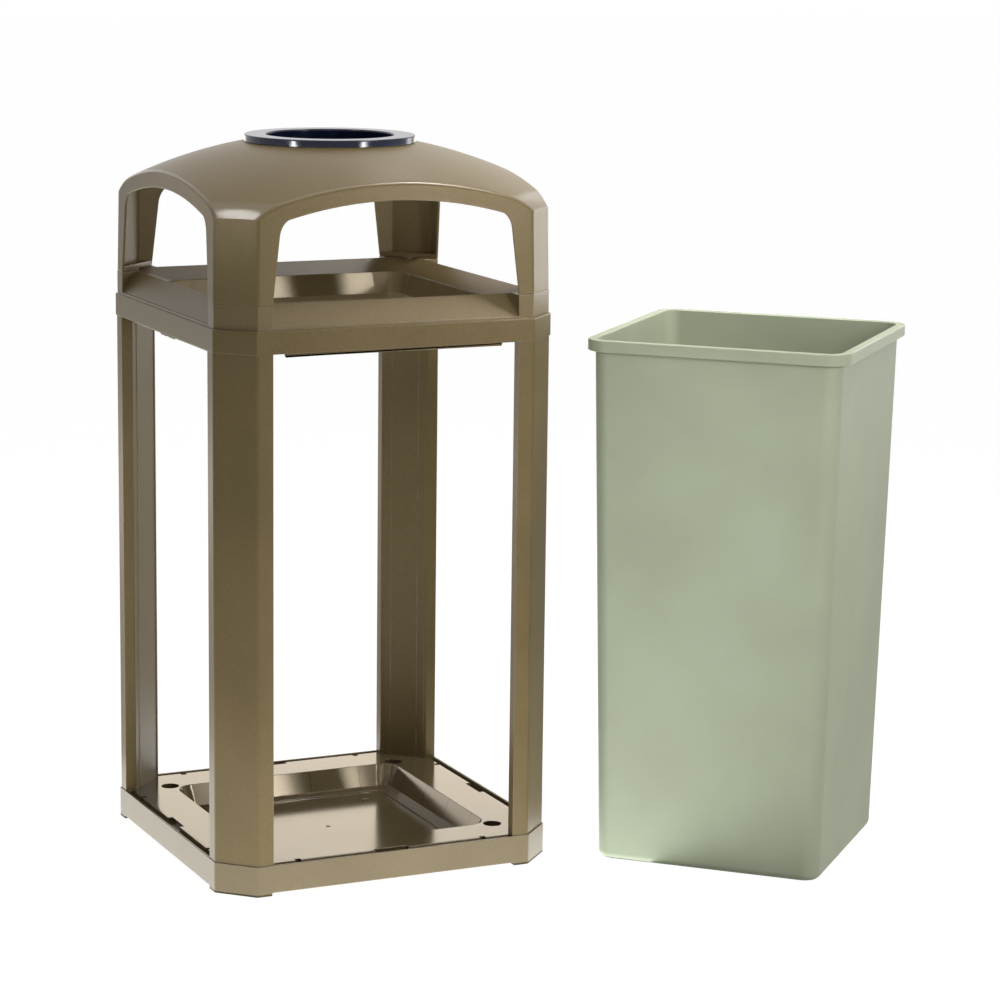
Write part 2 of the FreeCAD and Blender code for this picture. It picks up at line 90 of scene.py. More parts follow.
THROAT_HALF = 217 * MM
PAD_HEIGHT = 8 * MM
PAD_REACH = 16 * MM
PAD_BITE = 1 * MM
PAD_RIM = 3 * MM
PAD_DISH = 0.8 * MM

# Base
DECK_HALF = 275.5 * MM
WELL_HALF = 204 * MM
WELL_FOOT_HALF = 190 * MM
WELL_FLOOR = 12 * MM
SCORE_PITCH = 92 * MM
SCORE_HALF = 0.7 * MM
MARK_HEIGHT = 0.9 * MM
MARK_SUNK = 0.3 * MM
MARK_DISH = 0.6 * MM
GATE_RADIUS = 4 * MM
EJECTOR_RADIUS = 7 * MM
EJECTOR_X, EJECTOR_Y = 119 * MM, 123 * MM

# Liner
LINER_PLACE = Vector((621, -302, 0)) * MM
LINER_TURN = math.radians(45)
LINER_CORNER_STEPS = 8
ROLL_SHARES = (0, 0.3, 0.6, 0.85, 1)

# Finishes
TAUPE_PALE = "b3a484"
TAUPE_GRAIN = 0.12 * MM
BLACK, WHITE = (0, 0, 0, 1), (1, 1, 1, 1)


def only(piece):
    """Selects one piece and makes it active."""
    if bpy.context.object and bpy.context.object.mode != "OBJECT":
        bpy.ops.object.mode_set(mode="OBJECT")
    bpy.ops.object.select_all(action="DESELECT")
    piece.select_set(True)
    bpy.context.view_layer.objects.active = piece


def edit(piece):
    """Enters edit mode, where leave() ends it."""
    only(piece)
    bpy.ops.object.mode_set(mode="EDIT")
    bpy.ops.mesh.select_mode(type="VERT")


def leave():
    bpy.ops.object.mode_set(mode="OBJECT")


def added(name):
    """Names the primitive that was just added."""
    piece = bpy.context.object
    piece.name = name
    piece.data.name = name
    return piece


def choose(piece, kind, test):
    """In edit mode, selects the vertices, edges or faces that pass the test, and no others."""
    mesh = bmesh.from_edit_mesh(piece.data)
    for element in list(mesh.verts) + list(mesh.edges) + list(mesh.faces):
        element.select = False
    bpy.ops.mesh.select_mode(type=kind)
    mesh = bmesh.from_edit_mesh(piece.data)
    for element in {"VERT": mesh.verts, "EDGE": mesh.edges, "FACE": mesh.faces}[kind]:
        if test(element):
            element.select_set(True)
    mesh.select_flush_mode()
    bmesh.update_edit_mesh(piece.data)


def move_selected(piece, place):
    """In edit mode, moves each selected vertex to the place that a function gives for it."""
    mesh = bmesh.from_edit_mesh(piece.data)
    for vertex in mesh.verts:
        if vertex.select:
            vertex.co = place(vertex.co)
    bmesh.update_edit_mesh(piece.data)


def apply_modifier(piece, kind, **settings):
    only(piece)
    modifier = piece.modifiers.new(kind.title(), kind)
    for key, value in settings.items():
        setattr(modifier, key, value)
    bpy.ops.object.modifier_apply(modifier=modifier.name)


def cut(piece, *cutters):
    """Cuts each cutter out of the piece and deletes the cutter."""
    for cutter in cutters:
        apply_modifier(piece, "BOOLEAN", operation="DIFFERENCE", solver="EXACT", object=cutter)
        bpy.data.objects.remove(cutter)


def round_edges(piece, width, segments=2, angle=38, clamp=True):
    """Rounds the edges that turn by more than an angle in degrees."""
    apply_modifier(piece, "BEVEL", width=width, segments=segments, limit_method="ANGLE",
                   angle_limit=math.radians(angle), use_clamp_overlap=clamp, miter_outer="MITER_ARC",
                   loop_slide=True)


def smooth(piece, angle=32):
    """Shades a piece smooth, but for edges that turn by more than an angle in degrees."""
    only(piece)
    bpy.ops.object.shade_smooth_by_angle(angle=math.radians(angle))
    apply_modifier(piece, "WEIGHTED_NORMAL", keep_sharp=True, weight=60)


def settle(piece, body, slot, finish, *nodes):
    """Finishes a piece: its material, its body and the nodes it stands for. The slot argument is not used.
    """
    piece.data.materials.clear()
    piece.data.materials.append(finish)
    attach(piece, body)
    if nodes:
        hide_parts(*nodes)
    return piece


class Value:
    """A socket of one finish; arithmetic on it adds Math nodes."""

    def __init__(self, finish, socket):
        self.finish = finish
        self.socket = socket

    def __add__(self, other):
        return self.finish.maths("ADD", self, other)

    def __sub__(self, other):
        return self.finish.maths("SUBTRACT", self, other)

    def __rsub__(self, other):
        return self.finish.maths("SUBTRACT", other, self)

    def __mul__(self, other):
        return self.finish.maths("MULTIPLY", self, other)

    __radd__ = __add__


class Finish:
    """One material, made of nodes that read the piece's own coordinates."""

    def __init__(self, name):
        self.material = bpy.data.materials.new(name)
        self.material.use_nodes = True
        self.tree = self.material.node_tree
        self.shader = self.tree.nodes["Principled BSDF"]
        self.place = self.node("TexCoord", output="Object")

    def node(self, kind, settings=None, inputs=None, output=0):
        made = self.tree.nodes.new("ShaderNode" + kind)
        for key, value in (settings or {}).items():
            if key == "stops":
                ramp = made.color_ramp.elements
                while len(ramp) < len(value):
                    ramp.new(0.5)
                for stop, (position, colour) in zip(ramp, value):
                    stop.position = position
                    stop.color = colour
            else:
                setattr(made, key, value)
        for key, value in (inputs or {}).items():
            if isinstance(value, Value):
                self.tree.links.new(value.socket, made.inputs[key])
            else:
                made.inputs[key].default_value = value
        return Value(self, made.outputs[output])

    def set(self, **inputs):
        """Sets the shader's sockets; an underscore in a name stands for a space."""
        for key, value in inputs.items():
            socket = self.shader.inputs[key.replace("_", " ")]
            if isinstance(value, Value):
                self.tree.links.new(value.socket, socket)
            else:
                socket.default_value = value
        return self.material

    def noise(self, scale, detail=2.0, roughness=0.5, stretch=(1, 1, 1)):
        place = self.node("Mapping", {}, {"Vector": self.place, "Scale": stretch})
        return self.node("TexNoise", {}, {"Vector": place, "Scale": scale, "Detail": detail,
                                          "Roughness": roughness})

    def maths(self, operation, *inputs):
        return self.node("Math", {"operation": operation}, dict(enumerate(inputs)))

    def part_of(self, vector, axis):
        return self.node("SeparateXYZ", {}, {"Vector": vector}, output=axis)

    def across(self, axis):
        """Distance from the upright plane through the middle, along one axis."""
        return self.maths("ABSOLUTE", self.part_of(self.place, axis))

    def cells(self, scale):
        return self.node("TexVoronoi", {"feature": "F1"}, {"Vector": self.place, "Scale": scale})

    def ramp(self, value, low, high, first=BLACK, last=WHITE):
        return self.node("ValToRGB", {"stops": [(low, first), (high, last)]}, {"Fac": value})

    def mix(self, factor, first, last):
        return self.node("Mix", {"data_type": "RGBA"}, {0: factor, 6: first, 7: last}, output=2)

    def edge_mask(self, radius, low, high):
        """One along outer and inner edges, nought on flat faces."""
        rounded = self.node("Bevel", {"samples": 4}, {"Radius": radius})
        face = self.node("NewGeometry", output="Normal")
        turn = self.node("VectorMath", {"operation": "DOT_PRODUCT"}, {0: rounded, 1: face}, output="Value")
        return self.ramp(turn, low, high, WHITE, BLACK)

    def bump(self, height, distance, strength):
        return self.node("Bump", {}, {"Height": height, "Distance": distance, "Strength": strength})


def srgb(text):
    """Linear colour of a written screen colour."""
    channels = [int(text[start:start + 2], 16) / 255 for start in (0, 2, 4)]
    return tuple(c / 12.92 if c <= 0.04045 else ((c + 0.055) / 1.055) ** 2.4 for c in channels) + (1,)


def moulded_plastic(name, colour, pale, dark, rough, grain, specular, smooth_half=0.0, scored=False):
    """Moulded plastic with a fine leather grain, faint mottling and paler edges, partly rubbed wear and
    partly painted highlight.

    The hood's rolled edges are shiny. Within smooth_half of the axis the mould was smooth. Scored lines run
    down the walls of the base's well; where they are, the smooth area is darkened with painted shade, more
    on the deck than on the walls."""
    finish = Finish(name)
    drift = finish.noise(7, 3)
    speck = finish.noise(420, 2)
    base = finish.mix(finish.ramp(drift, 0.32, 0.68), srgb(dark), srgb(colour))
    base = finish.mix(finish.ramp(speck, 0.45, 0.75) * 0.10, base, srgb(pale))
    edges = finish.edge_mask(1.8 * MM, 0.9, 0.995)
    # Painted highlight, partly rubbed wear: the edges are mixed towards the pale colour in noisy patches.
    base = finish.mix(edges * finish.ramp(finish.noise(38, 4), 0.3, 0.65) * 0.5, base, srgb(pale))
    rough = rough + drift * 0.12 + speck * 0.06 - edges * 0.08
    height = finish.cells(620) * 0.7 + speck * 0.3
    upward = finish.part_of(finish.node("NewGeometry", output="Normal"), "Z")
    over_deck = finish.maths("GREATER_THAN", finish.part_of(finish.place, "Z"), DECK_TOP + LEG_ROUND)
    rolled = finish.ramp(upward, 0.4, 0.5) * finish.ramp(upward, 0.8, 0.88, WHITE, BLACK) * over_deck
    if smooth_half:
        x, y = finish.across("X"), finish.across("Y")
        reach, along = finish.maths("MAXIMUM", x, y), finish.maths("MINIMUM", x, y)
        smooth_part = (finish.maths("LESS_THAN", reach, smooth_half)
                       * finish.maths("LESS_THAN", x + y, 2 * smooth_half - CORNER_LEG))
        rough = rough * (1 - smooth_part) + (0.09 + drift * 0.08) * smooth_part
        height = height * (1 - smooth_part * 0.95)
    if scored:
        off = finish.maths("ABSOLUTE", finish.maths("FLOORED_MODULO", along, SCORE_PITCH) - SCORE_PITCH / 2)
        slope = (finish.maths("LESS_THAN", reach, WELL_HALF)
                 * finish.maths("GREATER_THAN", reach, WELL_FOOT_HALF))
        score = finish.maths("LESS_THAN", off, SCORE_HALF) * slope
        # Painted shade: the smooth deck is mixed towards dark brown, as if shaded by the hood above, less
        # on the well's walls; the scored lines are darker as well.
        base = finish.mix(smooth_part * 0.6 - slope * 0.5 + score * 0.6, base, srgb("3c3320"))
        height = height - score * 2
    shine = finish.maths("MAXIMUM", edges, rolled) * 0.8
    return finish.set(Base_Color=base, Roughness=rough, Specular_IOR_Level=specular,
                      Specular_Tint=srgb("ffeed2"), Coat_Weight=shine, Coat_Roughness=0.15,
                      Normal=finish.bump(height, grain, 0.5))


def enamel(name):
    """Dark blue enamel on metal, with a little dust; its paler edges are partly thin enamel and partly
    painted highlight.
    """
    finish = Finish(name)
    drift = finish.noise(30, 3)
    dust = finish.noise(260, 4, 0.7)
    base = finish.mix(finish.ramp(drift, 0.3, 0.7), srgb("10162a"), srgb("1a2340"))
    base = finish.mix(finish.ramp(dust, 0.62, 0.85) * 0.10, base, srgb("8d97ab"))
    # Painted highlight, partly thin enamel: the edges are mixed towards a pale grey-green.
    base = finish.mix(finish.edge_mask(1.2 * MM, 0.85, 0.99) * 0.45, base, srgb("9aa6a4"))
    return finish.set(Base_Color=base, Roughness=0.10 + dust * 0.08, Specular_IOR_Level=0.27,
                      Normal=finish.bump(drift, 0.3 * MM, 0.25))


def zinc(name):
    """Zinc-plated steel with a fine spangle, drawn along the upright."""
    finish = Finish(name)
    spangle = finish.cells(500)
    brushed = finish.noise(900, 2, stretch=(1, 1, 0.1))
    base = finish.mix(finish.ramp(spangle, 0.1, 0.7), srgb("a9a9a4"), srgb("c9c9c3"))
    return finish.set(Base_Color=base, Metallic=1.0, Roughness=0.3 + brushed * 0.2)


def heading(angle):
    """Level unit vector at an angle from X."""
    return Vector((math.cos(angle), math.sin(angle), 0))


def dome_height(x, y, inset):
    """Height of the shallow dome over a point of the plan, before its edges are rolled."""
    return DOME_TOP - DOME_RADIUS + math.sqrt((DOME_RADIUS - inset) ** 2 - x * x - y * y)


def roll_drop(distance, radius, end=1.0):
    """How far a rolled edge has dropped, by the distance inwards from its outer end.

    The end value is the sine of its slope there."""
    inside = min(max(radius * end - distance, 0), radius * end)
    return radius - math.sqrt(radius * radius - inside * inside)


def leg_round_planes(half, corner, radius):
    """Upright planes that round off the plan's eight corners, each with its distance from the axis."""
    lean = math.cos(QUARTER / 2)
    along_side = ((half - radius) - lean * (corner - radius)) / (1 - lean * lean)
    along_diagonal = (corner - radius) - lean * along_side
    planes = []
    for turn in range(4):
        for way in (-1, 1):
            diagonal_angle = QUARTER * (turn + 0.5)
            side_angle = diagonal_angle + way * QUARTER / 2
            centre = along_side * heading(side_angle) + along_diagonal * heading(diagonal_angle)
            for share in LEG_ROUND_SHARES:
                angle = side_angle + (diagonal_angle - side_angle) * share
                normal = heading(angle)
                planes.append((normal, centre.dot(normal) + radius))
    return planes


def hood_block(name, inset):
    """Closed block with the hood's outline: flat sides, a shallow round top and rolled edges."""
    half = HOOD_HALF - inset
    corner = (2 * HOOD_HALF - CORNER_LEG) / math.sqrt(2) - inset
    crease = CREASE_ROLL - inset
    shoulder = SHOULDER_ROLL - inset
    bpy.ops.mesh.primitive_grid_add(x_subdivisions=DOME_GRID, y_subdivisions=DOME_GRID, size=2 * half,
                                    location=(0, 0, DECK_TOP))
    block = added(name)
    only(block)
    bpy.ops.object.transform_apply(location=True)
    edit(block)
    for turn in range(4):
        diagonal = heading(QUARTER * (turn + 0.5))
        side = heading(QUARTER * turn)
        bpy.ops.mesh.select_all(action="SELECT")
        bpy.ops.mesh.bisect(plane_co=diagonal * corner, plane_no=diagonal, clear_outer=True)
        planes = [(diagonal, corner - shoulder * SHOULDER_END * share) for share in SHOULDER_SHARES]
        if crease > 0:
            planes += [(side, half - crease * share) for share in CREASE_SHARES]
        for normal, distance in planes:
            bpy.ops.mesh.select_all(action="SELECT")
            bpy.ops.mesh.bisect(plane_co=normal * distance, plane_no=normal)
    for normal, distance in leg_round_planes(half, corner, LEG_ROUND - inset):
        bpy.ops.mesh.select_all(action="SELECT")
        bpy.ops.mesh.bisect(plane_co=normal * distance, plane_no=normal, clear_outer=True)
    bpy.ops.mesh.select_all(action="SELECT")
    bpy.ops.mesh.remove_doubles(threshold=WELD)

    def raised(co):
        x, y = abs(co.x), abs(co.y)
        drop = roll_drop(corner - (x + y) / math.sqrt(2), shoulder, SHOULDER_END)
        if crease > 0:
            drop += roll_drop(half - max(x, y), crease)
        return Vector((co.x, co.y, dome_height(x, y, inset) - drop))

    bpy.ops.mesh.select_all(action="SELECT")
    move_selected(block, raised)
    choose(block, "EDGE", lambda e: e.is_boundary)
    bpy.ops.mesh.extrude_region_move()
    move_selected(block, lambda co: Vector((co.x, co.y, DECK_TOP)))
    bpy.ops.mesh.edge_face_add()

    def drafted(co):
        share = 1 - DOME_DRAFT * (co.z - DECK_TOP) / (DOME_TOP - DECK_TOP) / HOOD_HALF
        return Vector((co.x * share, co.y * share, co.z))

    bpy.ops.mesh.select_all(action="SELECT")
    move_selected(block, drafted)
    bpy.ops.mesh.normals_make_consistent(inside=False)
    choose(block, "FACE", lambda f: abs(f.normal.z) < 0.05)
    bpy.ops.mesh.dissolve_limited(angle_limit=math.radians(0.3))
    leave()
    return block


def arch_cutter(name, turned):
    """Block with a drafted, arched outline that runs right through the hood."""
    reach = HOOD_HALF + 20 * MM
    below = 30 * MM
    bpy.ops.mesh.primitive_grid_add(x_subdivisions=28, y_subdivisions=1, size=2,
                                    location=(0, 0, 0), rotation=(QUARTER, 0, 0))
    cutter = added(name)
    only(cutter)
    bpy.ops.object.transform_apply(rotation=True)
    edit(cutter)
    slope = (OPENING_FOOT_HALF - OPENING_TOP_HALF) / (OPENING_TOP - OPENING_ARC_DROP - DECK_TOP)
    shoulder = OPENING_TOP - OPENING_ARC + math.sqrt(OPENING_ARC ** 2 - OPENING_TOP_HALF ** 2)

    def outline(co):
        if co.z < 0:
            half = OPENING_FOOT_HALF + slope * below
            return Vector((co.x * half, -reach, DECK_TOP - below))
        x = co.x * OPENING_TOP_HALF
        arc = OPENING_TOP - OPENING_ARC + math.sqrt(OPENING_ARC ** 2 - x * x)
        return Vector((x, -reach, arc))

    bpy.ops.mesh.select_all(action="SELECT")
    move_selected(cutter, outline)
    bpy.ops.mesh.extrude_region_move(TRANSFORM_OT_translate={"value": (0, 2 * reach, 0)})
    bpy.ops.mesh.select_all(action="SELECT")
    bpy.ops.mesh.normals_make_consistent(inside=False)
    choose(cutter, "EDGE", lambda e: all(abs(abs(v.co.x) - OPENING_TOP_HALF) < MM
                                         and abs(v.co.z - shoulder) < MM for v in e.verts))
    bpy.ops.mesh.bevel(offset=OPENING_CORNER * 0.95, segments=8, affect="EDGES", clamp_overlap=False)
    leave()
    if turned:
        cutter.rotation_euler.z = QUARTER
        only(cutter)
        bpy.ops.object.transform_apply(rotation=True)
    return cutter


def hood_dome(finish):
    """Thin dome on four legs, with an arched opening on each side and the bowl's hole in its top."""
    hood = hood_block("hood_dome_moulding", 0)
    cavity = hood_block("hood_cavity", DOME_WALL)
    edit(cavity)
    choose(cavity, "VERT", lambda v: v.co.z < DECK_TOP + MM)
    bpy.ops.transform.translate(value=(0, 0, -5 * MM))
    leave()
    bpy.ops.mesh.primitive_cylinder_add(vertices=96, radius=BOWL_HOLE, depth=0.2, location=(0, 0, DOME_TOP))
    hole = added("bowl_hole_cutter")
    cut(hood, cavity, arch_cutter("arch_cutter_front", False), arch_cutter("arch_cutter_side", True), hole)
    round_edges(hood, 1.3 * MM, angle=40, clamp=False)
    smooth(hood, 22)
    leg_pads(finish)
    return settle(hood, "hood_body", "frame_plastic", finish, "hood_dome")


def leg_pads(finish):
    """Flat pad in the foot of each leg, which the hood screws bite into."""
    inner = (2 * HOOD_HALF - CORNER_LEG) / math.sqrt(2) - DOME_WALL
    near, far = inner - PAD_REACH, inner + PAD_BITE
    side = HOOD_HALF - DOME_WALL + PAD_BITE

    def placed(co):
        distance = near if co.x < 0 else far
        across = (side * math.sqrt(2) - distance) * (1 if co.y > 0 else -1)
        return Vector((distance, across, DECK_TOP + (PAD_HEIGHT if co.z > 0 else 0)))

    for turn in range(4):
        bpy.ops.mesh.primitive_cube_add(size=1, location=(0, 0, 0))
        pad = added("leg_pad_%d" % (turn + 1))
        edit(pad)
        bpy.ops.mesh.select_all(action="SELECT")
        move_selected(pad, placed)
        choose(pad, "FACE", lambda f: f.normal.z > 0.9)
        bpy.ops.mesh.inset(thickness=PAD_RIM)
        bpy.ops.transform.translate(value=(0, 0, -PAD_DISH))
        leave()
        round_edges(pad, 0.8 * MM, angle=30)
        pad.rotation_euler.z = QUARTER * (turn + 0.5)
        only(pad)
        bpy.ops.object.transform_apply(rotation=True)
        smooth(pad)
        settle(pad, "hood_body", "frame_plastic", finish)


def rounded_square(half, corner, co, old_half, old_corner):
    """Moves a point on one rounded square to the same place on another."""
    old_centre = old_half - old_corner
    centre = half - corner
    tiny = 0.01 * MM
    sign = Vector((math.copysign(1, co.x), math.copysign(1, co.y)))
    offset = Vector((abs(co.x) - old_centre, abs(co.y) - old_centre))
    if offset.x >= -tiny and offset.y >= -tiny:
        stretch = corner / max(offset.length, tiny)
        return Vector((sign.x * (centre + offset.x * stretch), sign.y * (centre + offset.y * stretch)))
    if offset.x > offset.y:
        return Vector((sign.x * half, co.y * centre / old_centre))
    return Vector((co.x * centre / old_centre, sign.y * half))


def square_tub(name, loops):
    """Shell whose wall follows a list of rounded squares, each with a half width, a corner and a height."""
    half, corner, height = loops[0]
    bpy.ops.mesh.primitive_plane_add(size=2 * half, location=(0, 0, 0))
    tub = added(name)
    edit(tub)
    bpy.ops.mesh.select_all(action="SELECT")
    bpy.ops.mesh.bevel(offset=corner, segments=LINER_CORNER_STEPS, affect="VERTICES")
    bpy.ops.mesh.select_all(action="SELECT")
    bpy.ops.transform.translate(value=(0, 0, height))
    bpy.ops.mesh.extrude_region_move()
    for index, (next_half, next_corner, next_height) in enumerate(loops[1:]):
        old_half, old_corner = loops[index][:2]

        def placed(co):
            flat = rounded_square(next_half, next_corner, co, old_half, old_corner)
            return Vector((flat.x, flat.y, next_height))

        move_selected(tub, placed)
        if index < len(loops) - 2:
            bpy.ops.mesh.extrude_region_move()
    bpy.ops.mesh.select_all(action="SELECT")
    bpy.ops.mesh.normals_make_consistent(inside=False)
    leave()
    return tub


def liner(finish):
    """Tapered tub with round corners, a rolled foot and a turned-over rim."""
    height, rim_height, wall = 868 * MM, 18.5 * MM, 3 * MM
    low, high, rim = 189 * MM, 205.1 * MM, 217.5 * MM
    corner, rim_corner, foot = 26.4 * MM, 38.8 * MM, 12 * MM
    corner_share = 0.6
    growth = (high - low) / (height - rim_height)
    loops = []
    for share in ROLL_SHARES:
        angle = QUARTER * share
        drawn_in = foot * (1 - math.sin(angle))
        loops.append((low - drawn_in, corner - drawn_in * corner_share, foot * (1 - math.cos(angle))))
    top, rim_foot = height - wall, height - rim_height
    loops += [(low + growth * top, corner, top), (rim - wall, rim_corner - wall, top),
              (rim - wall, rim_corner - wall, rim_foot), (rim, rim_corner, rim_foot),
              (rim, rim_corner, height), (low + growth * height - wall, corner - wall, height)]
    inner_low, roll = low + growth * foot - wall, foot - wall
    for share in ROLL_SHARES:
        angle = QUARTER * share
        drawn_in = roll * (1 - math.cos(angle))
        loops.append((inner_low - drawn_in, corner - wall - drawn_in * corner_share,
                      wall + roll * (1 - math.sin(angle))))
    tub = square_tub("liner_tub", loops)
    round_edges(tub, 1.3 * MM, segments=3, angle=50)
    tub.rotation_euler.z = LINER_TURN
    tub.location = LINER_PLACE
    only(tub)
    bpy.ops.object.transform_apply(location=True, rotation=True)
    smooth(tub)
    return settle(tub, "liner_body", "liner_plastic", finish, "liner")


def turned_piece(name, profile, segments):
    """Round piece whose wall follows a list of radii and heights, closed at its first and last ring."""
    radius, height = profile[0]
    bpy.ops.mesh.primitive_circle_add(vertices=segments, radius=radius, fill_type="NGON",
                                      location=(0, 0, 0))
    piece = added(name)
    edit(piece)
    bpy.ops.mesh.select_all(action="SELECT")
    bpy.ops.transform.translate(value=(0, 0, height))
    bpy.ops.mesh.extrude_region_move()
    for index, (next_radius, next_height) in enumerate(profile[1:]):
        share = next_radius / profile[index][0]
        move_selected(piece, lambda co: Vector((co.x * share, co.y * share, next_height)))
        if index < len(profile) - 2:
            bpy.ops.mesh.extrude_region_move()
    bpy.ops.mesh.select_all(action="SELECT")
    bpy.ops.mesh.normals_make_consistent(inside=False)
    leave()
    return piece


def arc(centre, radius, first, last, steps):
    """Points of a profile's arc, from one angle to another in degrees."""
    points = []
    for step in range(steps + 1):
        angle = math.radians(first + (last - first) * step / steps)
        points.append((centre[0] + radius * math.cos(angle), centre[1] + radius * math.sin(angle)))
    return points


def ash_bowl(finish):
    """Spun bowl: flat rim, turned-down edge, round mouth and round floor."""
    top, rim, bowl, wall = 1181 * MM, 139.6 * MM, 104 * MM, 1.5 * MM
    floor = top - 58 * MM
    seat = 1170 * MM
    centre = 4 * MM
    floor_round, mouth_round, rim_round = 12 * MM, 3 * MM, 2.5 * MM
    under = ([(centre, floor - wall)]
             + arc((bowl - floor_round, floor + floor_round), floor_round + wall, -90, 0, 8)
             + arc((bowl + mouth_round, top - mouth_round), mouth_round - wall, 180, 90, 4)
             + arc((rim - rim_round, top - rim_round), rim_round - wall, 90, 0, 4)
             + [(rim - wall, seat), (rim, seat)])
    over = (arc((rim - rim_round, top - rim_round), rim_round, 0, 90, 6)
            + arc((bowl + mouth_round, top - mouth_round), mouth_round, 90, 180, 6)
            + arc((bowl - floor_round, floor + floor_round), floor_round, 0, -90, 8)
            + [(centre, floor)])
    bowl_piece = turned_piece("ash_bowl_spun", under + over, 128)
    smooth(bowl_piece, 50)
    return settle(bowl_piece, "ash_bowl_body", "ash_metal", finish, "ash_bowl")


def softened(node, name, body, finish, radius, softer=None, soft_radius=0.0):
    """Copy of one packed moulding with its sharp edges rounded.

    The edges that pass the softer test have a radius of their own."""
    only(frame["nodes"][node])
    bpy.ops.object.duplicate()
    piece = added(name)
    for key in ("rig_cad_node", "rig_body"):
        if key in piece:
            del piece[key]
    piece.parent = None
    edit(piece)
    bpy.ops.mesh.select_all(action="SELECT")
    bpy.ops.mesh.remove_doubles(threshold=WELD)
    bpy.ops.mesh.dissolve_limited(angle_limit=math.radians(0.5))
    bpy.ops.mesh.select_all(action="SELECT")
    bpy.ops.mesh.vert_connect_concave()
    if softer:
        choose(piece, "EDGE", lambda e: e.is_manifold and e.calc_face_angle() > math.radians(30)
               and softer(e.verts[0].co, e.verts[1].co))
        bpy.ops.mesh.bevel(offset=soft_radius, segments=4, affect="EDGES", clamp_overlap=False,
                           loop_slide=True)
    leave()
    if "custom_normal" in piece.data.attributes:
        piece.data.attributes.remove(piece.data.attributes["custom_normal"])
    round_edges(piece, radius, angle=35, clamp=False)
    smooth(piece, 30)
    return settle(piece, body, "frame_plastic", finish, node)


def outer_corner(half):
    """Test for the upright edges of a moulding's cut-off corners."""
    return lambda a, b: (abs(a.z - b.z) > 2 * MM and (a.xy - b.xy).length < 0.1 * MM
                         and abs(max(abs(a.x), abs(a.y)) - half) < 0.3 * MM
                         and abs(min(abs(a.x), abs(a.y)) - half + CORNER_LEG) < 0.6 * MM)


def mould_mark(name, x, y, radius, finish):
    """Low round mark that the mould left on the well's floor."""
    bpy.ops.mesh.primitive_cylinder_add(vertices=32, radius=radius, depth=MARK_HEIGHT + MARK_SUNK,
                                        location=(x, y, WELL_FLOOR + (MARK_HEIGHT - MARK_SUNK) / 2))
    mark = added(name)
    bpy.ops.object.transform_apply(location=True)
    edit(mark)
    choose(mark, "FACE", lambda f: f.normal.z > 0.9)
    bpy.ops.mesh.inset(thickness=radius * 0.35)
    bpy.ops.transform.translate(value=(0, 0, -MARK_DISH))
    leave()
    round_edges(mark, 0.25 * MM, angle=30)
    smooth(mark)
    settle(mark, "frame_body", "frame_plastic", finish)


# One taupe plastic in copies of different tone: the hood's copy is painted lighter, for the light from
# above, and the rail's and posts' copy darker, for the shade under the hood.
taupe = moulded_plastic("taupe_frame_painted_shade_plastic", "726242", TAUPE_PALE, "6a5b3c", 0.27, TAUPE_GRAIN, 0.28)
taupe_hood_painted_light = moulded_plastic("taupe_hood_painted_light_plastic", "7a6a48", TAUPE_PALE, "726241", 0.27, TAUPE_GRAIN, 0.3)
taupe_deck = moulded_plastic("taupe_deck_plastic", "776749", TAUPE_PALE, "6f5f42", 0.27, TAUPE_GRAIN, 0.4,
                             smooth_half=THROAT_HALF)
taupe_base = moulded_plastic("taupe_base_plastic", "766950", TAUPE_PALE, "6e6149", 0.32, TAUPE_GRAIN, 0.5,
                             smooth_half=DECK_HALF, scored=True)
sage = moulded_plastic("sage_liner_plastic", "adb69d", "bdc1b0", "a6ad95", 0.46, 0.10 * MM, 0.25)
blue_enamel = enamel("blue_black_enamel")
zinc_plate = zinc("zinc_plate")

hood_dome(taupe_hood_painted_light)
liner(sage)
ash_bowl(blue_enamel)
softened("base", "base_moulding", "frame_body", taupe_base, 0.9 * MM, outer_corner(BASE_HALF), 3 * MM)
softened("top_rail", "top_rail_moulding", "frame_body", taupe, 0.9 * MM)
softened("hood_deck", "hood_deck_moulding", "hood_body", taupe_deck, 0.9 * MM)
for node in ("post_front_left", "post_front_right", "post_back_left", "post_back_right"):
    softened(node, node + "_moulding", "frame_body", taupe, 0.6 * MM, outer_corner(POST_HALF), 4 * MM)
mould_mark("gate_mark", 0, 0, GATE_RADIUS, taupe_base)
for number, (x, y) in enumerate(((1, 1), (-1, 1), (-1, -1), (1, -1))):
    mould_mark("ejector_mark_%d" % (number + 1), x * EJECTOR_X, y * EJECTOR_Y, EJECTOR_RADIUS, taupe_base)
for node in ("post_foot_screws", "post_foot_washers", "rail_screws", "hood_screws"):
    packed = frame["nodes"][node]
    packed.data.materials.clear()
    packed.data.materials.append(zinc_plate)


def seen_directly(tree):
    """One for rays from the camera, from reflections and through glass, nought for the rest."""
    path = tree.nodes.new("ShaderNodeLightPath")
    total = path.outputs["Is Camera Ray"]
    for name in ("Is Glossy Ray", "Is Transmission Ray"):
        add = tree.nodes.new("ShaderNodeMath")
        add.operation = "MAXIMUM"
        tree.links.new(total, add.inputs[0])
        tree.links.new(path.outputs[name], add.inputs[1])
        total = add.outputs[0]
    return total


